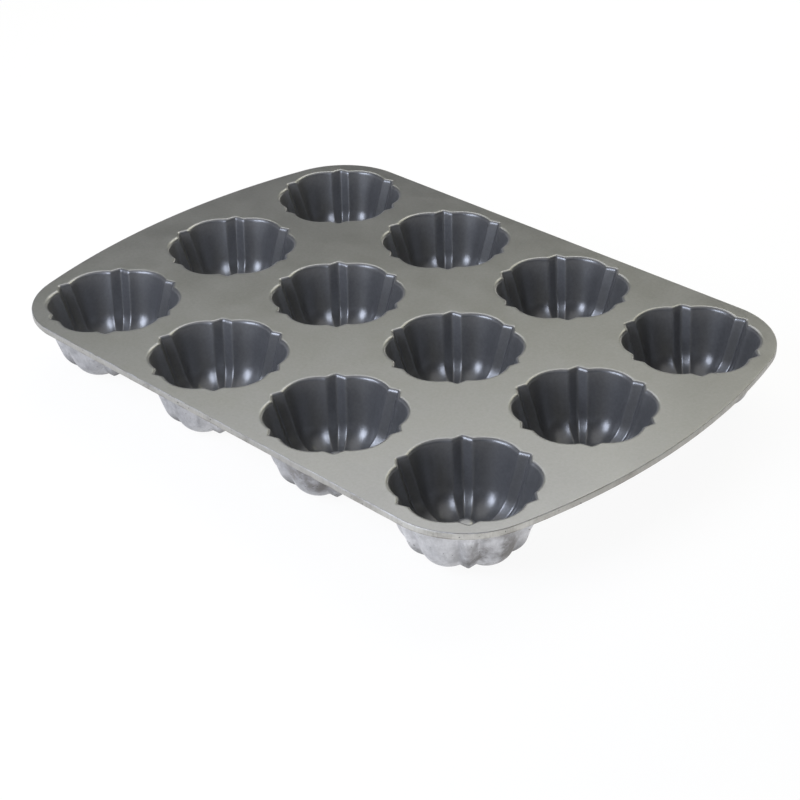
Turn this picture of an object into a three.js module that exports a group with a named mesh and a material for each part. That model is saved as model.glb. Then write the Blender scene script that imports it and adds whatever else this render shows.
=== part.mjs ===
// Twelve-cup fluted muffin pan: a flat deck with a rounded edge band carries twelve cups in four
// columns and three rows. Each cup has six round lobes parted by six V grooves, a drafted wall that
// rolls into the floor, and a low rounded boss in the middle that is hollow underneath.
// Millimetres, +Z up. The pan is centred on X and Y with its long side along X, and stands at z = 0.
import * as THREE from "three";

const radians = THREE.MathUtils.degToRad;
const lerp = THREE.MathUtils.lerp;

// Overall sizes
const HEIGHT = 38;
const DECK_THICKNESS = 4;
const OVERALL_LENGTH = 384.5;

// Cup grid
const COLUMNS = 4;
const ROWS = 3;
const COLUMN_PITCH = 90;
const ROW_PITCH = 89.5;

// Deck edges
const CORNER_RADIUS = 45.5;
const CORNER_STEPS = 10;
const BOW_STEPS = 8;
const BAND_ROUNDING = 1;
const MOUTH_ROUNDING = 1.5;
const MOUTH_STEPS = 2;

// Cup wall: the mouth's lobe radius is measured just under the rounded edge
const MOUTH_LOBE_RADIUS = 37.3;
const WALL_THICKNESS = 3;
const WALL_DRAFT = radians(15.8);
const FLOOR_ROLL_RADIUS = 16;
const ROLL_STEPS = 3;

// Flutes: one period holds a V groove and a lobe. The ratios are to the radius of the lobe's crown.
const FLUTES = 6;
const GROOVE_BEARING = radians(15);
const LOBE_STEPS = 4;
const FLUTE_AT_MOUTH = { tip: 1.01, shoulder: 0.938, halfAngle: radians(8.4) };
const FLUTE_AT_FLOOR = { tip: 0.98, shoulder: 0.86, halfAngle: radians(10.5) };

// Centre boss: rings of radius and height above the cup's floor, then those of the hollow under it
const BOSS_HEIGHT = 9.5;
const BOSS_SIDES = 2 * FLUTES;
const BOSS_RINGS = [[8.5, 0], [5.2, 7.7], [2.6, 9.1]];
const HOLLOW_RINGS = [[6.6, 0], [3.1, 7.8]];

// Finishes
const COATED = { color: 0x6b6c6d, roughness: 0.38, metalness: 0.2 };
const CAST = { color: 0xb4b3b0, roughness: 0.55, metalness: 0.9 };

// Heights and radii that follow from the sizes above
const DECK_UNDERSIDE = HEIGHT - DECK_THICKNESS;
const FLOOR_HEIGHT = WALL_THICKNESS;
const HALF_COLUMN_SPAN = ((COLUMNS - 1) * COLUMN_PITCH) / 2;
const HALF_ROW_SPAN = ((ROWS - 1) * ROW_PITCH) / 2;
const ROLL_CENTRE_HEIGHT = FLOOR_HEIGHT + FLOOR_ROLL_RADIUS;
const ROLL_START_HEIGHT = ROLL_CENTRE_HEIGHT - FLOOR_ROLL_RADIUS * Math.sin(WALL_DRAFT);
const ROLL_CENTRE_RADIUS = wallRadius(ROLL_START_HEIGHT) - FLOOR_ROLL_RADIUS * Math.cos(WALL_DRAFT);

// The crown radius of the inner wall at a height on its straight, drafted part.
function wallRadius(height) {
  return MOUTH_LOBE_RADIUS - (HEIGHT - MOUTH_ROUNDING - height) * Math.tan(WALL_DRAFT);
}

function polar(bearing, radius, height) {
  return new THREE.Vector3(radius * Math.cos(bearing), radius * Math.sin(bearing), height);
}

// The flute's proportions at a height, blended from the mouth down to the floor.
function fluteAt(height) {
  const depth = (HEIGHT - height) / HEIGHT;
  const mix = (key) => lerp(FLUTE_AT_MOUTH[key], FLUTE_AT_FLOOR[key], depth);
  return { tip: mix("tip"), shoulder: mix("shoulder"), halfAngle: mix("halfAngle") };
}

// The arc of a lobe whose crown is at radius 1: it runs through the crown and both shoulders.
function lobeArc(flute) {
  const half = Math.PI / FLUTES - flute.halfAngle;
  const along = flute.shoulder * Math.cos(half);
  const centre = (1 - flute.shoulder ** 2) / (2 * (1 - along));
  const reach = Math.atan2(flute.shoulder * Math.sin(half), along - centre);
  return { centre, radius: 1 - centre, reach };
}

// The fluted section at a height as bearings and ratios to the crown radius: for each flute the tip of
// its groove, then its lobe from shoulder to shoulder.
function fluteSection(height) {
  const flute = fluteAt(height);
  const arc = lobeArc(flute);
  const section = [];
  for (let period = 0; period < FLUTES; period += 1) {
    const groove = GROOVE_BEARING + (period * 2 * Math.PI) / FLUTES;
    const crown = groove + Math.PI / FLUTES;
    section.push({ bearing: groove, ratio: flute.tip });
    for (let step = 0; step <= LOBE_STEPS; step += 1) {
      const turn = arc.reach * ((2 * step) / LOBE_STEPS - 1);
      const along = arc.centre + arc.radius * Math.cos(turn);
      const across = arc.radius * Math.sin(turn);
      section.push({ bearing: crown + Math.atan2(across, along), ratio: Math.hypot(along, across) });
    }
  }
  return section;
}

// A fluted ring. Its flutes stand square to a wall that leans by an angle from upright, and the whole
// ring can be pushed out by a margin.
function fluteRing(crownRadius, height, lean = 0, margin = 0) {
  return fluteSection(height).map(({ bearing, ratio }) => {
    const relief = crownRadius * (ratio - 1);
    const radius = crownRadius + relief * Math.cos(lean) + margin;
    return polar(bearing, radius, height - relief * Math.sin(lean));
  });
}

function circleRing(radius, height) {
  const ring = [];
  for (let side = 0; side < BOSS_SIDES; side += 1) {
    ring.push(polar(GROOVE_BEARING + (side * 2 * Math.PI) / BOSS_SIDES, radius, height));
  }
  return ring;
}

// Collects the triangles of one closed solid. Rings run anticlockwise seen from above. While inward is
// set, what is added faces the axis instead of away from it, or down instead of up.
class Skin {
  positions = [];
  inward = false;

  triangle(a, b, c) {
    const corners = this.inward ? [a, c, b] : [a, b, c];
    for (const corner of corners) this.positions.push(corner.x, corner.y, corner.z);
  }

  // A four-sided patch, split along its shorter diagonal.
  patch(a, b, c, d) {
    if (a.distanceToSquared(c) < b.distanceToSquared(d)) {
      this.triangle(a, b, c);
      this.triangle(a, c, d);
    } else {
      this.triangle(a, b, d);
      this.triangle(b, c, d);
    }
  }

  band(lower, upper) {
    lower.forEach((corner, index) => {
      const next = (index + 1) % lower.length;
      this.patch(corner, lower[next], upper[next], upper[index]);
    });
  }

  bands(rings) {
    for (let level = 1; level < rings.length; level += 1) this.band(rings[level - 1], rings[level]);
  }

  // The ring-shaped face from a fluted section in to a circle with a corner for every third point.
  gather(section, circle) {
    circle.forEach((corner, index) => {
      const middle = 3 * index;
      const last = section[middle + 1];
      const following = section[(middle + 2) % section.length];
      this.triangle(section.at(middle - 1), section[middle], corner);
      this.triangle(section[middle], last, corner);
      this.patch(last, following, circle[(index + 1) % circle.length], corner);
    });
  }

  // A cap over a ring, drawn to one point on the axis.
  cap(ring, height) {
    const apex = new THREE.Vector3(0, 0, height);
    ring.forEach((corner, index) => this.triangle(corner, ring[(index + 1) % ring.length], apex));
  }

  // A flat face with holes.
  face(outline, holes) {
    const corners = [outline, ...holes].flat();
    for (const [a, b, c] of THREE.ShapeUtils.triangulateShape(outline, holes)) {
      this.triangle(corners[a], corners[b], corners[c]);
    }
  }

  geometry() {
    const geometry = new THREE.BufferGeometry();
    geometry.setAttribute("position", new THREE.Float32BufferAttribute(this.positions, 3));
    geometry.computeVertexNormals();
    return geometry;
  }
}

// The rings of a cup wall from the floor up to the deck's underside, at an offset outside its inner
// face. On the inner face the flutes follow the roll across the floor. Outside they end in a flat foot.
function wallRings(offset, flatFoot) {
  const rings = [];
  const roll = FLOOR_ROLL_RADIUS + offset;
  for (let step = 0; step <= ROLL_STEPS; step += 1) {
    const turn = lerp(Math.PI / 2, WALL_DRAFT, step / ROLL_STEPS);
    const radius = ROLL_CENTRE_RADIUS + roll * Math.cos(turn);
    const height = ROLL_CENTRE_HEIGHT - roll * Math.sin(turn);
    rings.push(fluteRing(radius, height, flatFoot ? 0 : turn));
  }
  const topRadius = wallRadius(DECK_UNDERSIDE) + offset / Math.cos(WALL_DRAFT);
  rings.push(fluteRing(topRadius, DECK_UNDERSIDE));
  return rings;
}

// One cup shell around the vertical axis, open at the top.
function cupGeometry() {
  const skin = new Skin();
  const inner = wallRings(0, false);
  const outer = wallRings(WALL_THICKNESS, true);
  const boss = BOSS_RINGS.map(([radius, height]) => circleRing(radius, FLOOR_HEIGHT + height));
  const hollow = HOLLOW_RINGS.map(([radius, height]) => circleRing(radius, height));

  skin.bands(outer);
  skin.band(outer.at(-1), inner.at(-1));
  skin.gather(inner[0], boss[0]);
  skin.bands(boss);
  skin.cap(boss.at(-1), FLOOR_HEIGHT + BOSS_HEIGHT);

  skin.inward = true;
  skin.bands(inner);
  skin.gather(outer[0], hollow[0]);
  skin.bands(hollow);
  skin.cap(hollow.at(-1), BOSS_HEIGHT);
  return skin.geometry();
}

function arcPoints(centre, radius, from, to, steps, height) {
  const points = [];
  for (let step = 0; step <= steps; step += 1) {
    points.push(polar(lerp(from, to, step / steps), radius, height).add(centre));
  }
  return points;
}

// The deck's outline, drawn in by an inset: straight long sides, corners that run round the corner cups
// and bowed short ends that meet the corners without a kink.
function outlineRing(inset, height) {
  const rise = OVERALL_LENGTH / 2 - HALF_COLUMN_SPAN;
  const bowRadius = (HALF_ROW_SPAN ** 2 + rise ** 2 - CORNER_RADIUS ** 2) / (2 * (rise - CORNER_RADIUS));
  const bowCentre = new THREE.Vector3(OVERALL_LENGTH / 2 - bowRadius, 0, 0);
  const corner = new THREE.Vector3(HALF_COLUMN_SPAN, HALF_ROW_SPAN, 0);
  const nearCorner = new THREE.Vector3(HALF_COLUMN_SPAN, -HALF_ROW_SPAN, 0);
  const meet = Math.atan2(HALF_ROW_SPAN, HALF_COLUMN_SPAN - bowCentre.x);
  const turn = CORNER_RADIUS - inset;
  const half = [
    ...arcPoints(nearCorner, turn, -Math.PI / 2, -meet, CORNER_STEPS, height).slice(0, -1),
    ...arcPoints(bowCentre, bowRadius - inset, -meet, meet, BOW_STEPS, height),
    ...arcPoints(corner, turn, meet, Math.PI / 2, CORNER_STEPS, height).slice(1),
  ];
  return [...half, ...half.map((point) => new THREE.Vector3(-point.x, -point.y, point.z))];
}

// The rings of a cup's mouth through the deck, from the underside up over the rounded edge.
function mouthRings(centre) {
  const rings = [fluteRing(wallRadius(DECK_UNDERSIDE), DECK_UNDERSIDE)];
  for (let step = 0; step <= MOUTH_STEPS; step += 1) {
    const turn = ((Math.PI / 2) * step) / MOUTH_STEPS;
    const height = HEIGHT - MOUTH_ROUNDING * (1 - Math.sin(turn));
    rings.push(fluteRing(MOUTH_LOBE_RADIUS, height, 0, MOUTH_ROUNDING * (1 - Math.cos(turn))));
  }
  for (const point of rings.flat()) point.add(centre);
  return rings;
}

function deckGeometry(centres) {
  const skin = new Skin();
  const edge = [
    outlineRing(BAND_ROUNDING, DECK_UNDERSIDE),
    outlineRing(0, DECK_UNDERSIDE + BAND_ROUNDING),
    outlineRing(0, HEIGHT - BAND_ROUNDING),
    outlineRing(BAND_ROUNDING, HEIGHT),
  ];
  const mouths = centres.map(mouthRings);

  skin.bands(edge);
  skin.face(edge.at(-1), mouths.map((rings) => rings.at(-1)));

  skin.inward = true;
  for (const rings of mouths) skin.bands(rings);
  skin.face(edge[0], mouths.map((rings) => rings[0]));
  return skin.geometry();
}

// The cups' places, column by column
const places = [];
for (let column = 0; column < COLUMNS; column += 1) {
  for (let row = 0; row < ROWS; row += 1) {
    const x = column * COLUMN_PITCH - HALF_COLUMN_SPAN;
    const y = row * ROW_PITCH - HALF_ROW_SPAN;
    places.push({ name: `cup_${"abcd"[column]}${row + 1}`, centre: new THREE.Vector3(x, y, 0) });
  }
}

const pan = new THREE.Group();

const deck = new THREE.Mesh(
  deckGeometry(places.map((place) => place.centre)),
  new THREE.MeshStandardMaterial(COATED),
);
deck.name = "deck";
pan.add(deck);

for (const place of places) {
  const cup = new THREE.Mesh(cupGeometry(), new THREE.MeshStandardMaterial(CAST));
  cup.name = place.name;
  cup.position.copy(place.centre);
  pan.add(cup);
}

export default pan;
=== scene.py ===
"""A twelve-cup fluted muffin pan: a cast aluminium deck and cups, with a grey release coat on top and
inside the cups and bare casting on the edge band and underneath."""

import math

import bmesh
import bpy
from mathutils import Matrix, Vector


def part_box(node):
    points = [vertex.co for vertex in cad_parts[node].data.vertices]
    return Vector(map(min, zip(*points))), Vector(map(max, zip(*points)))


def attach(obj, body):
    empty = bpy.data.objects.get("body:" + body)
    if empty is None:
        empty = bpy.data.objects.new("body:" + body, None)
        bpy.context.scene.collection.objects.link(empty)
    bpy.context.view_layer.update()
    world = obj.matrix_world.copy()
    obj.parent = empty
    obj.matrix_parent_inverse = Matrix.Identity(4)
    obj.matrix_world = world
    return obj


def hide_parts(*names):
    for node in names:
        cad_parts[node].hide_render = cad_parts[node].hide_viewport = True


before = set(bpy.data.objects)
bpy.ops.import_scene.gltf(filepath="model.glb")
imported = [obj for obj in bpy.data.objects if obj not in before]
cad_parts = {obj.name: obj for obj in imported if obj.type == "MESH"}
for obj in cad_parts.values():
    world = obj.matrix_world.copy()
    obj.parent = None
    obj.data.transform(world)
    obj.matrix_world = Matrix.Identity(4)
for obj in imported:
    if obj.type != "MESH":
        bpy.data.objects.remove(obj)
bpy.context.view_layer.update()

# Sizes in metres, read from the frame where it has them
deck_low, deck_high = (Vector(corner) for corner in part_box("deck"))
CUP_CENTRES = {}
for node in sorted(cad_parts):
    if node.startswith("cup_"):
        low, high = (Vector(corner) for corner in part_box(node))
        CUP_CENTRES[node] = Vector(((low.x + high.x) / 2, (low.y + high.y) / 2, 0))
DECK_TOP = deck_high.z
DECK_UNDERSIDE = deck_low.z
HALF_LENGTH = (deck_high.x - deck_low.x) / 2
HALF_WIDTH = (deck_high.y - deck_low.y) / 2
CORNER_CUP = Vector((max(c.x for c in CUP_CENTRES.values()), max(c.y for c in CUP_CENTRES.values()), 0))

# Deck edges
CORNER_RADIUS = HALF_WIDTH - CORNER_CUP.y
TOP_ROUNDING = 0.0005
BAND_ROUNDING = 0.001
MOUTH_ROUNDING = 0.0023
FLAT_RIM = 0.0005
CORNER_STEPS = 28
BOW_STEPS = 48
ROUND_STEPS = 8
MOUTH_WALL_STEPS = 3
DECK_CREASE = math.radians(40)
# Width of the strip along the deck's edge that no mouth reaches
EDGE_STRIP = 0.004

# Cup wall and floor
MOUTH_LOBE_RADIUS = 0.0366
WALL_THICKNESS = 0.0034
FLOOR_THICKNESS = 0.003
WALL_DRAFT = math.radians(15.8)
FLOOR_ROLL_RADIUS = 0.016
ROLL_STEPS = 14
WALL_STEPS = 5
CASTING_FILLET = 0.0025
BOSS_HEIGHT = 0.0095
BOSS_REACH = 0.0069
BOSS_FOOT = 0.9 * BOSS_REACH
HOLLOW_REACH = 0.0049
HOLLOW_EDGE = 1.55 * HOLLOW_REACH
DOME_POWER = 5
BOSS_STEPS = 18
HOLLOW_STEPS = 15
POLE_RADIUS = 0.0004
CUP_CREASE = math.radians(50)

# Flutes: a V groove and a lobe in each period, as ratios to the lobe's crown radius
FLUTES = 6
FLUTE_TURN = math.tau / FLUTES
FIRST_GROOVE = math.radians(15)
MOUTH_FLUTE = {"tip": 1.016, "shoulder": 0.936, "half_angle": math.radians(8.4)}
RIB_FLUTE = {"tip": 1.005, "shoulder": 0.950, "half_angle": math.radians(6.2)}
FLOOR_FLUTE = {"tip": 0.99, "shoulder": 0.89, "half_angle": math.radians(11.5)}
FOOT_FLUTE = {"tip": 0.985, "shoulder": 0.85, "half_angle": math.radians(10.5)}
GROOVE_SPAN = math.radians(12.5)
GROOVE_STEPS = 12
LOBE_STEPS = 7
# A corner of the section is eased over these weighted steps, each a crisp or a soft angle wide
EASING = ((1, -2), (4, -1), (6, 0), (4, 1), (1, 2))
EASING_WEIGHT = sum(weight for weight, _ in EASING)
CRISP = math.radians(0.7)
SOFT = math.radians(0.9)
# The ribs outside swell from a start height to a full one, by this share of the cup's radius
RIB_BELLY = 0.015
RIB_START = 0.004
RIB_FULL = 0.014

# Heights and radii of the cup's inner face
MOUTH_TURN = math.pi / 2 - WALL_DRAFT
MOUTH_FOOT_HEIGHT = DECK_TOP - MOUTH_ROUNDING * (1 - math.cos(MOUTH_TURN))
ROLL_CENTRE_HEIGHT = FLOOR_THICKNESS + FLOOR_ROLL_RADIUS
ROLL_START_HEIGHT = ROLL_CENTRE_HEIGHT - FLOOR_ROLL_RADIUS * math.sin(WALL_DRAFT)


def blend(start, end, share):
    return start + (end - start) * share


def ease(share):
    share = min(max(share, 0), 1)
    return share * share * (3 - 2 * share)


def wall_radius(height):
    """Crown radius of the drafted inner wall."""
    return MOUTH_LOBE_RADIUS - (DECK_TOP - MOUTH_ROUNDING - height) * math.tan(WALL_DRAFT)


ROLL_CENTRE_RADIUS = wall_radius(ROLL_START_HEIGHT) - FLOOR_ROLL_RADIUS * math.cos(WALL_DRAFT)


# Flute section

def sharp_ratio(bearing, flute, belly):
    """Radius of the unrounded section over its crown radius: groove flanks with a belly, and round lobes."""
    from_groove = abs((bearing - FIRST_GROOVE + FLUTE_TURN / 2) % FLUTE_TURN - FLUTE_TURN / 2)
    half_angle = flute["half_angle"]
    shoulder = flute["shoulder"]
    if from_groove < half_angle:
        along = shoulder * math.cos(half_angle)
        across = shoulder * math.sin(half_angle)
        straight = flute["tip"] * across / (
            across * math.cos(from_groove) - (along - flute["tip"]) * math.sin(from_groove)
        )
        return straight + belly * math.sin(math.pi * from_groove / half_angle)
    lobe_half = FLUTE_TURN / 2 - half_angle
    centre = (1 - shoulder ** 2) / (2 * (1 - shoulder * math.cos(lobe_half)))
    from_crown = FLUTE_TURN / 2 - from_groove
    aside = centre * math.sin(from_crown)
    return centre * math.cos(from_crown) + math.sqrt((1 - centre) ** 2 - aside ** 2)


def flute_ratio(bearing, height, top, foot, rounding, belly):
    """Section ratio at a height between two flutes, with its corners eased over a small angle."""
    depth = (DECK_TOP - height) / DECK_TOP
    flute = {key: blend(top[key], foot[key], depth) for key in top}
    total = 0
    for weight, step in EASING:
        total += weight * sharp_ratio(bearing + step * rounding, flute, belly)
    return total / EASING_WEIGHT


def section_bearings():
    """Bearings round one section, close together at the grooves and wider on the lobes."""
    half = [GROOVE_SPAN * step / GROOVE_STEPS for step in range(GROOVE_STEPS)]
    half += [blend(GROOVE_SPAN, FLUTE_TURN / 2, step / LOBE_STEPS) for step in range(LOBE_STEPS)]
    period = half + [FLUTE_TURN / 2] + [FLUTE_TURN - turn for turn in reversed(half[1:])]
    return [FIRST_GROOVE + FLUTE_TURN * index + turn for index in range(FLUTES) for turn in period]


SECTION = section_bearings()


def fluted_ring(crown, height, lean=0, margin=0):
    """A ring whose flutes stand square to a wall that leans from upright, pushed out by a margin."""
    ring = []
    for bearing in SECTION:
        relief = crown * (flute_ratio(bearing, height, MOUTH_FLUTE, FLOOR_FLUTE, CRISP, 0) - 1)
        radius = crown + relief * math.cos(lean) + margin
        ring.append(Vector((
            radius * math.cos(bearing), radius * math.sin(bearing), height - relief * math.sin(lean)
        )))
    return ring


def outer_ring(crown, height, margin=0):
    """A ring of the outside of a cup: softer flutes, deep and sharp at the foot, full and round above."""
    belly = RIB_BELLY * ease((height - RIB_START) / (RIB_FULL - RIB_START))
    ring = []
    for bearing in SECTION:
        radius = crown * flute_ratio(bearing, height, RIB_FLUTE, FOOT_FLUTE, SOFT, belly) + margin
        ring.append(Vector((radius * math.cos(bearing), radius * math.sin(bearing), height)))
    return ring


def round_ring(radius, height):
    """A plain round ring with as many points as a fluted one."""
    return [Vector((radius * math.cos(turn), radius * math.sin(turn), height)) for turn in SECTION]


# Profile of one cup, ring by ring

def dome(radius, reach):
    """Height of the centre boss or of the hollow under it at a radius."""
    return BOSS_HEIGHT * math.exp(-((radius / reach) ** DOME_POWER))


def underside_rings():
    """From the top of the hollow, over the foot and up the outside to the fillet under the deck."""
    rings = []
    for step in range(HOLLOW_STEPS + 1):
        radius = blend(POLE_RADIUS, HOLLOW_EDGE, step / HOLLOW_STEPS)
        rings.append(round_ring(radius, dome(radius, HOLLOW_REACH)))
    for step in range(ROLL_STEPS + 1):
        turn = blend(math.pi / 2, WALL_DRAFT, step / ROLL_STEPS)
        radius = ROLL_CENTRE_RADIUS + (FLOOR_ROLL_RADIUS + WALL_THICKNESS) * math.cos(turn)
        height = ROLL_CENTRE_HEIGHT * (1 - math.sin(turn))
        rings.append(outer_ring(radius, height))
    offset = WALL_THICKNESS / math.cos(WALL_DRAFT)
    foot_of_wall = ROLL_CENTRE_HEIGHT * (1 - math.sin(WALL_DRAFT))
    foot_of_fillet = DECK_UNDERSIDE - CASTING_FILLET
    for step in range(1, WALL_STEPS + 1):
        height = blend(foot_of_wall, foot_of_fillet, step / WALL_STEPS)
        rings.append(outer_ring(wall_radius(height) + offset, height))
    for step in range(1, ROUND_STEPS + 1):
        turn = math.pi / 2 * step / ROUND_STEPS
        height = foot_of_fillet + CASTING_FILLET * math.sin(turn)
        margin = CASTING_FILLET * (1 - math.cos(turn))
        rings.append(outer_ring(wall_radius(height) + offset, height, margin))
    return rings


def inside_rings():
    """Down the inner wall, round the roll, across the floor and over the boss."""
    rings = []
    for step in range(WALL_STEPS):
        share = step / WALL_STEPS
        height = blend(DECK_UNDERSIDE, ROLL_START_HEIGHT, share)
        rings.append(fluted_ring(wall_radius(height), height, lean=WALL_DRAFT * share))
    for step in range(ROLL_STEPS + 1):
        turn = blend(WALL_DRAFT, math.pi / 2, step / ROLL_STEPS)
        radius = ROLL_CENTRE_RADIUS + FLOOR_ROLL_RADIUS * math.cos(turn)
        height = ROLL_CENTRE_HEIGHT - FLOOR_ROLL_RADIUS * math.sin(turn)
        rings.append(fluted_ring(radius, height, lean=turn))
    edge_of_floor = rings[-1]
    for step in range(1, BOSS_STEPS + 1):
        radius = blend(ROLL_CENTRE_RADIUS, POLE_RADIUS, step / BOSS_STEPS)
        fade = ease((radius - BOSS_FOOT) / (ROLL_CENTRE_RADIUS - BOSS_FOOT))
        ring = round_ring(radius, FLOOR_THICKNESS + dome(radius, BOSS_REACH))
        for point, edge in zip(ring, edge_of_floor):
            point.z += (edge.z - FLOOR_THICKNESS) * fade
        rings.append(ring)
    return rings


# Modelling by rings: each ring is extruded from the last and set to its place

# Keeps the first point of a ring first when its points are sorted by bearing
RING_SLACK = math.radians(0.2)


def bearing_of(point, centre):
    return math.atan2(point.y - centre.y, point.x - centre.x)


def set_ring(piece, points, centre=Vector(), reach=1.0):
    """Moves the selected ring round a centre on to the given points."""
    mesh = bmesh.from_edit_mesh(piece.data)
    start = bearing_of(points[0], centre) - RING_SLACK
    ring = [v for v in mesh.verts if v.select and (v.co.xy - centre.xy).length < reach]
    ring.sort(key=lambda v: (bearing_of(v.co, centre) - start) % math.tau)
    for vertex, point in zip(ring, points, strict=True):
        vertex.co = point
    bmesh.update_edit_mesh(piece.data)


def select_edges(piece, wanted):
    """Selects the edges that a rule accepts and nothing else."""
    bpy.ops.mesh.select_mode(type="EDGE")
    bpy.ops.mesh.select_all(action="DESELECT")
    mesh = bmesh.from_edit_mesh(piece.data)
    for edge in mesh.edges:
        if wanted(edge):
            edge.select_set(True)
    bmesh.update_edit_mesh(piece.data)


def start_piece(name, points):
    """A new piece in edit mode that holds one selected ring."""
    if bpy.context.mode != "OBJECT":
        bpy.ops.object.mode_set(mode="OBJECT")
    bpy.ops.object.select_all(action="DESELECT")
    bpy.ops.mesh.primitive_circle_add(vertices=len(points), radius=points[0].length)
    piece = bpy.context.object
    piece.name = piece.data.name = name
    bpy.ops.object.mode_set(mode="EDIT")
    set_ring(piece, points)
    return piece


def close_pole():
    """Closes the selected ring with a fan of faces."""
    bpy.ops.mesh.edge_face_add()
    bpy.ops.mesh.poke()


def finish_piece(piece, crease):
    """Closes edit mode with its faces outwards and smooth up to the crease angle."""
    bpy.ops.mesh.select_all(action="SELECT")
    bpy.ops.mesh.normals_make_consistent(inside=False)
    bpy.ops.object.mode_set(mode="OBJECT")
    bpy.ops.object.shade_smooth_by_angle(angle=crease)


def paint_faces(piece, finishes, choose):
    """Gives every face one of the finishes, by its place and normal."""
    for finish in finishes:
        piece.data.materials.append(finish)
    for face in piece.data.polygons:
        face.material_index = choose(face.center, face.normal)


def mark_ridges(piece):
    """Marks each point with its nearness to the middle of a groove, 1 at the middle and 0 on a lobe."""
    mark = piece.data.attributes.new("ridge", "FLOAT", "POINT")
    for vertex, entry in zip(piece.data.vertices, mark.data):
        turn = bearing_of(vertex.co, Vector()) - FIRST_GROOVE
        from_groove = abs((turn + FLUTE_TURN / 2) % FLUTE_TURN - FLUTE_TURN / 2)
        entry.value = max(1 - from_groove / GROOVE_SPAN, 0)


def model_cup():
    """One cup round the origin, from the hollow outwards, up, over and down to the boss."""
    underside = underside_rings()
    piece = start_piece("cup", underside[0])
    close_pole()
    select_edges(piece, lambda edge: edge.is_boundary)
    for ring in underside[1:] + inside_rings():
        bpy.ops.mesh.extrude_edges_indiv()
        set_ring(piece, ring)
    close_pole()
    finish_piece(piece, CUP_CREASE)
    mark_ridges(piece)
    return piece


def outline_ring(inset, height):
    """The deck's outline drawn in by an inset: straight sides, round corners and bowed short ends."""
    rise = HALF_LENGTH - CORNER_CUP.x
    bow_radius = (CORNER_CUP.y ** 2 + rise ** 2 - CORNER_RADIUS ** 2) / (2 * (rise - CORNER_RADIUS))
    bow_middle = HALF_LENGTH - bow_radius
    meet = math.atan2(CORNER_CUP.y, CORNER_CUP.x - bow_middle)
    quarter = []
    for step in range(BOW_STEPS):
        turn = meet * step / BOW_STEPS
        reach = bow_radius - inset
        quarter.append((bow_middle + reach * math.cos(turn), reach * math.sin(turn)))
    for step in range(CORNER_STEPS + 1):
        turn = blend(meet, math.pi / 2, step / CORNER_STEPS)
        reach = CORNER_RADIUS - inset
        quarter.append((CORNER_CUP.x + reach * math.cos(turn), CORNER_CUP.y + reach * math.sin(turn)))
    half = quarter + [(-x, y) for x, y in reversed(quarter)]
    return [Vector((x, y, height)) for x, y in half + [(-x, -y) for x, y in half[1:-1]]]


def mouth_ring(centre, crown, height, margin=0):
    """A fluted ring round the middle of a cup."""
    return [point + centre for point in fluted_ring(crown, height, margin=margin)]


def model_deck():
    """The top face with its twelve mouths, then the mouths' walls, the edge band and the underside."""
    mouth_foot_radius = wall_radius(MOUTH_FOOT_HEIGHT)
    mouth_margin = MOUTH_ROUNDING * math.sin(MOUTH_TURN)
    piece = start_piece("pan_deck", outline_ring(TOP_ROUNDING + FLAT_RIM, DECK_TOP))
    for centre in CUP_CENTRES.values():
        bpy.ops.mesh.select_all(action="DESELECT")
        place = (centre.x, centre.y, DECK_TOP)
        bpy.ops.mesh.primitive_circle_add(vertices=len(SECTION), radius=MOUTH_LOBE_RADIUS, location=place)
        set_ring(piece, mouth_ring(centre, mouth_foot_radius, DECK_TOP, mouth_margin + FLAT_RIM), centre)
    bpy.ops.mesh.select_all(action="SELECT")
    bpy.ops.mesh.fill(use_beauty=True)

    mouth_reach = CORNER_RADIUS - BAND_ROUNDING - 4 * FLAT_RIM

    def at_mouth(edge):
        middle = (edge.verts[0].co + edge.verts[1].co) / 2
        return any((middle.xy - centre.xy).length < mouth_reach for centre in CUP_CENTRES.values())

    select_edges(piece, lambda edge: edge.is_boundary and at_mouth(edge))
    stations = []
    for step in range(ROUND_STEPS + 1):
        turn = MOUTH_TURN * step / ROUND_STEPS
        height = DECK_TOP - MOUTH_ROUNDING * (1 - math.cos(turn))
        stations.append((mouth_foot_radius, height, mouth_margin - MOUTH_ROUNDING * math.sin(turn)))
    for step in range(1, MOUTH_WALL_STEPS + 1):
        height = blend(MOUTH_FOOT_HEIGHT, DECK_UNDERSIDE, step / MOUTH_WALL_STEPS)
        stations.append((wall_radius(height), height, 0))
    for crown, height, margin in stations:
        bpy.ops.mesh.extrude_edges_indiv()
        for centre in CUP_CENTRES.values():
            set_ring(piece, mouth_ring(centre, crown, height, margin), centre, mouth_reach)

    select_edges(piece, lambda edge: edge.is_boundary and not at_mouth(edge))
    for step in range(ROUND_STEPS + 1):
        turn = math.pi / 2 * step / ROUND_STEPS
        inset = TOP_ROUNDING * (1 - math.sin(turn))
        bpy.ops.mesh.extrude_edges_indiv()
        set_ring(piece, outline_ring(inset, DECK_TOP - TOP_ROUNDING * (1 - math.cos(turn))))
    for step in range(ROUND_STEPS + 1):
        turn = math.pi / 2 * step / ROUND_STEPS
        inset = BAND_ROUNDING * (1 - math.cos(turn))
        bpy.ops.mesh.extrude_edges_indiv()
        set_ring(piece, outline_ring(inset, DECK_UNDERSIDE + BAND_ROUNDING * (1 - math.sin(turn))))
    select_edges(piece, lambda edge: edge.is_boundary)
    bpy.ops.mesh.fill(use_beauty=True)
    finish_piece(piece, DECK_CREASE)
    return piece


# Finishes

# Sockets of a Mix node that mixes colours
MIX_SHARE, MIX_FIRST, MIX_SECOND, MIX_RESULT = 0, 6, 7, 2


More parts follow.
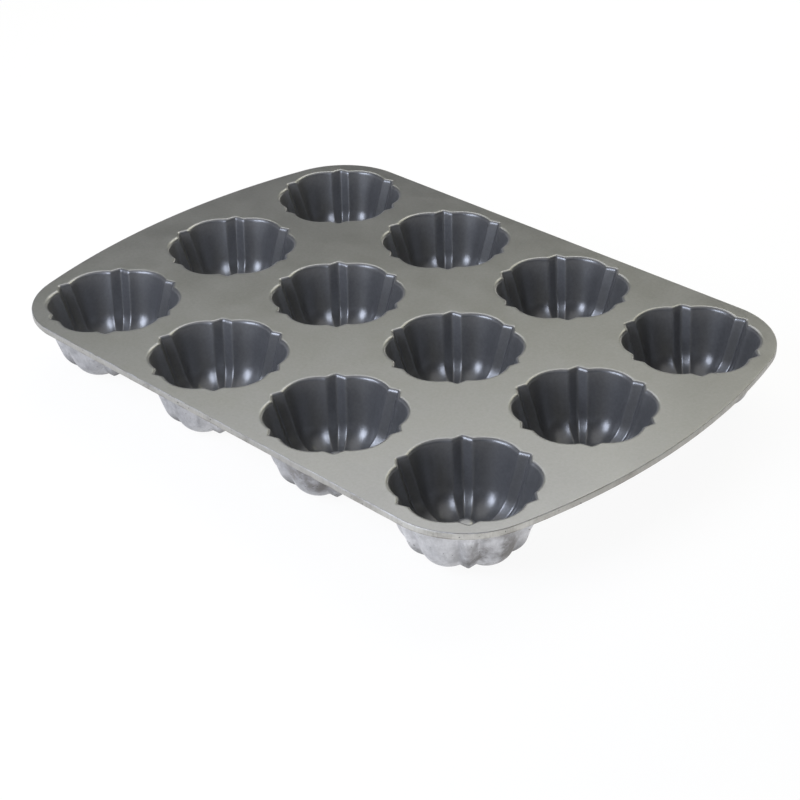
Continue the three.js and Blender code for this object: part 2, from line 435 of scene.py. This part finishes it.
class Signal:
    """A shader socket. Arithmetic on it adds Math nodes."""

    def __init__(self, finish, socket):
        self.finish = finish
        self.socket = socket

    def math(self, operation, first, second):
        node = self.finish.add("ShaderNodeMath", {"operation": operation}, {0: first, 1: second})
        return node["Value"]

    def __add__(self, other):
        return self.math("ADD", self, other)

    def __sub__(self, other):
        return self.math("SUBTRACT", self, other)

    def __rsub__(self, other):
        return self.math("SUBTRACT", other, self)

    def __mul__(self, other):
        return self.math("MULTIPLY", self, other)

    __radd__ = __add__
    __rmul__ = __mul__

    def limited(self):
        """Held between 0 and 1."""
        return self.finish.add("ShaderNodeClamp", {}, {"Value": self})["Result"]


class Node:
    """A shader node whose outputs are signals."""

    def __init__(self, finish, node):
        self.finish = finish
        self.node = node

    def __getitem__(self, name):
        return Signal(self.finish, self.node.outputs[name])


class Finish:
    """The node tree of a material or of the world."""

    def __init__(self, owner):
        self.owner = owner
        owner.use_nodes = True
        self.tree = owner.node_tree
        self.tree.nodes.clear()

    def add(self, kind, settings=None, sockets=None):
        """A new node with its settings, and with values or links in its sockets."""
        node = self.tree.nodes.new(kind)
        for key, value in (settings or {}).items():
            setattr(node, key, value)
        for key, value in (sockets or {}).items():
            if isinstance(value, Signal):
                self.tree.links.new(value.socket, node.inputs[key])
            else:
                node.inputs[key].default_value = value
        return Node(self, node)

    def object_place(self):
        return self.add("ShaderNodeTexCoord")["Object"]

    def noise(self, place, scale, detail, roughness=0.55):
        sockets = {"Vector": place, "Scale": scale, "Detail": detail, "Roughness": roughness}
        return self.add("ShaderNodeTexNoise", {}, sockets)["Fac"]

    def stretched(self, place, scale):
        return self.add("ShaderNodeMapping", {}, {"Vector": place, "Scale": scale})["Vector"]

    def height_of(self, place):
        return self.add("ShaderNodeSeparateXYZ", {}, {"Vector": place})["Z"]

    def distance(self, place, point):
        return self.add("ShaderNodeVectorMath", {"operation": "DISTANCE"}, {0: place, 1: point})["Value"]

    def rise(self, signal, low, high):
        """Eases from 0 to 1 between two levels of a signal."""
        sockets = {"Value": signal, "From Min": low, "From Max": high}
        return self.add("ShaderNodeMapRange", {"interpolation_type": "SMOOTHSTEP"}, sockets)["Result"]

    def mix(self, share, first, second, mode="MIX"):
        settings = {"data_type": "RGBA", "blend_type": mode}
        sockets = {MIX_SHARE: share, MIX_FIRST: first, MIX_SECOND: second}
        return self.add("ShaderNodeMix", settings, sockets)[MIX_RESULT]

    def shade(self, colour, brightness):
        """Multiplies a colour by a brightness."""
        return self.mix(1.0, colour, brightness, "MULTIPLY")

    def bump(self, height, distance):
        return self.add("ShaderNodeBump", {}, {"Height": height, "Distance": distance})["Normal"]

    def surface(self, sockets):
        return self.add("ShaderNodeBsdfPrincipled", {}, sockets)["BSDF"]

    def output(self, shader, kind="ShaderNodeOutputMaterial"):
        self.add(kind, {}, {"Surface": shader})
        return self.owner


# Colours of the finishes
COAT_GREY = (0.073, 0.073, 0.075, 1)
PALE_ALUMINIUM = (0.60, 0.60, 0.62, 1)
DULL_ALUMINIUM = (0.36, 0.36, 0.375, 1)
# Edge band colours: grey as painted shade along the sides, cream as painted light at the near corner
BAND_GREY = (0.42, 0.41, 0.385, 1)
BAND_CREAM = (0.57, 0.56, 0.53, 1)
RIM_BROWN = (0.13, 0.115, 0.095, 1)
BAKED_BROWN = (0.13, 0.112, 0.09, 1)
# Painted shade low on the ribs and round the foot
SHADE_GREY = (0.07, 0.07, 0.072, 1)
PIT_GREY = (0.05, 0.048, 0.045, 1)


def release_coat():
    """Baked-on dark grey coat, hard and half glossy, with a faint spray texture."""
    finish = Finish(bpy.data.materials.new("release_coat"))
    place = finish.object_place()
    smudge = finish.rise(finish.noise(place, scale=45, detail=5, roughness=0.6), 0.3, 0.7)
    speckle = finish.noise(place, scale=650, detail=2)
    peel = finish.noise(place, scale=350, detail=2)
    return finish.output(finish.surface({
        "Base Color": finish.shade(COAT_GREY, 0.59 + 0.12 * smudge + 0.70 * speckle),
        "Roughness": 0.285 + 0.05 * smudge,
        "IOR": 1.95,
        "Normal": finish.bump(peel + 0.7 * speckle, 0.000024),
    }))


# Places on the outside of the front cups, with their reach: fat baked on, and metal gone dull
STAINS = [((0.169, -0.104, 0.012), 0.027), ((0.061, -0.126, 0.020), 0.026)]
DULLED = [
    ((-0.148, -0.122, 0.018), 0.060),
    ((-0.045, -0.130, 0.018), 0.036),
    ((0.040, -0.128, 0.018), 0.046),
]
# The corner of the edge band painted pale as painted light, against the band's grey sides painted as shade,
# with its reach
PAINTED_LIGHT_CORNER = ((0.167, -0.122, 0.035), 0.065)
# How far baked-on fat, painted shade on the ribs and painted shade round the foot reach up from the ground
FAT_HEIGHTS = (0.001, 0.022)
RIB_SHADE_HEIGHTS = (0.003, 0.017)
FOOT_SHADE_HEIGHTS = (0.001, 0.006)
# Where the grime and painted shade on the band's lower edge start and end, above the deck's underside
GRIME_AND_SHADE_START = (0.00005, 0.0003)
GRIME_AND_SHADE_END = (0.0005, 0.0012)
# How much streaks and fine draws are stretched upright
STREAK_STRETCH = (1, 1, 0.10)
DRAW_STRETCH = (1, 1, 0.22)


def bare_casting():
    """Uncoated cast aluminium: dull and pale in patches, drawn upright, pitted, with baked-on stains and
    grime, painted shade low on the ribs, round the foot and along the band's lower edge, and a band painted
    paler at its near corner as painted light.
    """
    finish = Finish(bpy.data.materials.new("bare_casting"))
    place = finish.object_place()
    height = finish.height_of(place)
    ridge = finish.add("ShaderNodeAttribute", {"attribute_name": "ridge"})["Fac"]

    def near(point, reach):
        return 1 - finish.rise(finish.distance(place, point), 0.35 * reach, reach)

    blotch = finish.noise(place, scale=60, detail=6, roughness=0.7)
    streaks = finish.noise(finish.stretched(place, STREAK_STRETCH), scale=760, detail=3, roughness=0.6)
    draws = finish.noise(finish.stretched(place, DRAW_STRETCH), scale=190, detail=4, roughness=0.6)
    draws = finish.rise(draws, 0.56, 0.70)
    grain = finish.noise(place, scale=1000, detail=3)
    pits = finish.rise(finish.noise(place, scale=620, detail=2, roughness=0.4), 0.71, 0.76)
    dull = finish.rise(finish.noise(place, scale=110, detail=6, roughness=0.7), 0.36, 0.66) * 0.5
    for point, reach in DULLED:
        dull = dull + near(point, reach) * 0.5
    dull = dull.limited()
    low_down = 1 - finish.rise(height, *FAT_HEIGHTS)
    baked = finish.rise(blotch, 0.52, 0.74) * low_down * 0.7
    for point, reach in STAINS:
        baked = baked + near(point, reach) * finish.rise(blotch, 0.36, 0.60)
    baked = baked.limited()
    # Painted shade: darker low on the ribs and round the foot, near the floor
    painted_shade = finish.rise(ridge, 0.15, 0.6) * (1 - finish.rise(height, *RIB_SHADE_HEIGHTS))
    painted_shade = painted_shade + 0.35 * (1 - finish.rise(height, *FOOT_SHADE_HEIGHTS))
    # Grime and painted shade along the band's lower edge, where it turns under
    above_underside = height - DECK_UNDERSIDE
    low_edge = finish.rise(above_underside, *GRIME_AND_SHADE_START) * (1 - finish.rise(above_underside, *GRIME_AND_SHADE_END))
    grime_and_shade = low_edge * finish.rise(finish.noise(place, scale=120, detail=4), 0.40, 0.62)

    on_band = finish.rise(height, DECK_UNDERSIDE, DECK_UNDERSIDE + 0.5 * BAND_ROUNDING)
    # Painted light and shade: the band is cream round the corner nearest the camera and greyer along the
    # sides
    band = finish.mix(near(*PAINTED_LIGHT_CORNER), BAND_GREY, BAND_CREAM)
    band = finish.mix(finish.rise(blotch, 0.46, 0.72) * 0.45, band, BAKED_BROWN)
    colour = finish.mix(dull, PALE_ALUMINIUM, DULL_ALUMINIUM)
    colour = finish.mix(on_band, colour, band)
    colour = finish.shade(colour, 0.77 + (0.30 + 0.40 * ridge) * streaks + 0.16 * grain - 0.16 * draws)
    colour = finish.mix(baked * 0.75, colour, BAKED_BROWN)
    colour = finish.mix(painted_shade.limited() * 0.75, colour, SHADE_GREY)
    colour = finish.mix(grime_and_shade * 0.7, colour, BAKED_BROWN)
    colour = finish.mix(pits * 0.8, colour, PIT_GREY)
    return finish.output(finish.surface({
        "Base Color": colour,
        "Metallic": 0.85 - 0.5 * baked,
        "Roughness": 0.44 + 0.16 * dull + 0.10 * baked,
        "Normal": finish.bump(grain + 0.6 * streaks - 1.5 * pits, 0.00006),
    }))


def coat_rim():
    """The end of the coat along the top of the edge band, browned and worn through in places."""
    finish = Finish(bpy.data.materials.new("coat_rim"))
    place = finish.object_place()
    worn = finish.rise(finish.noise(place, scale=140, detail=4), 0.38, 0.58)
    grain = finish.noise(place, scale=1000, detail=2)
    return finish.output(finish.surface({
        "Base Color": finish.mix(worn, RIM_BROWN, DULL_ALUMINIUM),
        "Metallic": 0.5 * worn,
        "Roughness": 0.55 + 0.2 * grain,
        "Normal": finish.bump(grain, 0.00003),
    }))


# Studio

FLOOR_SIZE = 12
FLOOR_DROP = 0.0004
FLOOR_WHITE = (0.9, 0.9, 0.9, 1)
FLOOR_GLOW = 0.93
WHITE = (1, 1, 1, 1)
WALL_GREY = (0.08, 0.08, 0.08, 1)
OVERHEAD_GREY = (0.72, 0.72, 0.72, 1)
# Degrees above the horizon between which the room turns to its walls, and the walls to the light overhead
WALL_RISE = (3, 14)
OVERHEAD_RISE = (45, 72)
SKY_BLUE = (0.76, 0.83, 1.0)
COOL_WHITE = (0.93, 0.93, 1.0)
STRAW = (1.0, 1.0, 0.6)
WARM_WHITE = (1.0, 0.985, 0.78)
CREAM_WHITE = (1.0, 0.98, 0.85)
CAMERA_PLACE = Vector((0.6572, -0.6517, 0.5565))
CAMERA_BEARING = math.radians(135.139)
CAMERA_DIP = math.radians(31.673)
CAMERA_ROLL = math.radians(-1.88)
CAMERA_LENS = 86.607
CAMERA_SENSOR = 36


def direction(bearing, rise):
    """The way from the pan at a bearing and a rise above the horizon."""
    level = math.cos(rise)
    return Vector((level * math.cos(bearing), level * math.sin(bearing), math.sin(rise)))


def background_rays(finish):
    """1 for the rays that see the background: from the camera, from gloss and through glass."""
    path = finish.add("ShaderNodeLightPath")
    seen = path["Is Camera Ray"] + path["Is Glossy Ray"] + path["Is Transmission Ray"]
    return seen.limited()


def studio_floor():
    """A white floor that keeps the pan's shadow and joins the white background."""
    bpy.ops.object.select_all(action="DESELECT")
    bpy.ops.mesh.primitive_plane_add(size=FLOOR_SIZE, location=(0, 0, -FLOOR_DROP))
    floor = bpy.context.object
    floor.name = "studio_floor"
    finish = Finish(bpy.data.materials.new("white_sweep"))
    matt = finish.add("ShaderNodeBsdfDiffuse", {}, {"Color": FLOOR_WHITE})["BSDF"]
    white = finish.add("ShaderNodeEmission", {}, {"Color": WHITE, "Strength": 1.0})["Emission"]
    share = background_rays(finish) * FLOOR_GLOW
    floor.data.materials.append(finish.output(
        finish.add("ShaderNodeMixShader", {}, {0: share, 1: matt, 2: white})["Shader"]
    ))


def studio_world():
    """White round the horizon, darker walls and a soft light overhead. The camera sees it all white."""
    world = bpy.data.worlds.new("studio")
    bpy.context.scene.world = world
    finish = Finish(world)
    up = finish.height_of(finish.add("ShaderNodeTexCoord")["Generated"])
    walls = finish.rise(up, *(math.sin(math.radians(rise)) for rise in WALL_RISE))
    overhead = finish.rise(up, *(math.sin(math.radians(rise)) for rise in OVERHEAD_RISE))
    room = finish.mix(walls, WHITE, WALL_GREY)
    room = finish.mix(overhead, room, OVERHEAD_GREY)
    seen = finish.add("ShaderNodeLightPath")["Is Camera Ray"]
    sweep = finish.mix(seen, room, WHITE)
    shader = finish.add("ShaderNodeBackground", {}, {"Color": sweep, "Strength": 1.0})["Background"]
    finish.output(shader, "ShaderNodeOutputWorld")


def softbox(name, bearing, rise, distance, size, watts, tint):
    """A lamp at a bearing and rise in degrees from the pan, turned to face it."""
    lamp = bpy.data.lights.new(name, "AREA")
    lamp.shape = "RECTANGLE"
    lamp.size, lamp.size_y = size
    lamp.energy = watts
    lamp.color = tint
    holder = bpy.data.objects.new(name, lamp)
    towards = direction(math.radians(bearing), math.radians(rise))
    holder.location = towards * distance
    holder.rotation_euler = towards.to_track_quat("Z", "Y").to_euler()
    holder.visible_camera = False
    bpy.context.scene.collection.objects.link(holder)


def photo_camera():
    """The camera at the photograph's viewing angle, a little rolled."""
    look = direction(CAMERA_BEARING, -CAMERA_DIP)
    level = look.cross(Vector((0, 0, 1))).normalized()
    upright = level.cross(look)
    right = level * math.cos(CAMERA_ROLL) + upright * math.sin(CAMERA_ROLL)
    up = right.cross(look)
    lens = bpy.data.cameras.new("photo_camera")
    lens.lens = CAMERA_LENS
    lens.sensor_width = CAMERA_SENSOR
    camera = bpy.data.objects.new("photo_camera", lens)
    turn = Matrix((right, up, -look)).transposed().to_4x4()
    camera.matrix_world = Matrix.Translation(CAMERA_PLACE) @ turn
    bpy.context.scene.collection.objects.link(camera)
    bpy.context.scene.camera = camera


# Assembly

COAT, CASTING, RIM = range(3)
# Where the coat ends on the deck's top edge, and where its browned end does
COAT_END = DECK_TOP - 0.08 * TOP_ROUNDING
RIM_END = DECK_TOP - 0.3 * TOP_ROUNDING
# Faces round the mouths that look down more steeply than this belong to the underside
STEEPLY_DOWN = -0.5


def deck_finish(middle, normal):
    """Coat on top and in the mouths, a browned rim along the top edge, and bare casting elsewhere."""
    mouth_reach = CORNER_RADIUS - EDGE_STRIP
    if any((middle.xy - centre.xy).length < mouth_reach for centre in CUP_CENTRES.values()):
        return COAT if normal.z > STEEPLY_DOWN else CASTING
    if middle.z > COAT_END and normal.z > 0:
        return COAT
    return RIM if middle.z > RIM_END else CASTING


def cup_finish(middle, normal):
    """Coat on what looks up, bare casting on what looks down."""
    return COAT if normal.z > 0 else CASTING


def place_pieces():
    """Models the deck and one cup, copies the cup to every place and hands all to the frame."""
    coat = release_coat()
    casting = bare_casting()
    rim = coat_rim()

    deck = model_deck()
    paint_faces(deck, [coat, casting, rim], deck_finish)
    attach(deck, "root")
    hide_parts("deck")

    pattern = model_cup()
    paint_faces(pattern, [coat, casting], cup_finish)
    for node, centre in CUP_CENTRES.items():
        cup = pattern.copy()
        cup.data = pattern.data.copy()
        cup.name = cup.data.name = "pan_" + node
        cup.data.transform(Matrix.Translation(centre))
        bpy.context.scene.collection.objects.link(cup)
        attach(cup, "root")
        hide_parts(node)
    bpy.data.objects.remove(pattern)


place_pieces()
studio_floor()
studio_world()
softbox("key_softbox", bearing=-99, rise=37, distance=0.87, size=(0.50, 0.46), watts=6.0, tint=SKY_BLUE)
softbox("key_wash", bearing=-99, rise=37, distance=0.92, size=(1.10, 1.00), watts=2.0, tint=SKY_BLUE)
softbox("back_softbox", bearing=139, rise=52, distance=0.95, size=(0.70, 0.42), watts=3.05, tint=COOL_WHITE)
softbox("low_softbox", bearing=140, rise=42, distance=0.95, size=(0.75, 0.40), watts=0.9, tint=STRAW)
softbox("back_bank", bearing=96, rise=44, distance=1.60, size=(0.80, 0.80), watts=7.4, tint=WARM_WHITE)
softbox("right_panel", bearing=100, rise=6, distance=1.40, size=(0.90, 0.30), watts=1.5, tint=CREAM_WHITE)
photo_camera()
bpy.context.scene.view_settings.view_transform = "Standard"
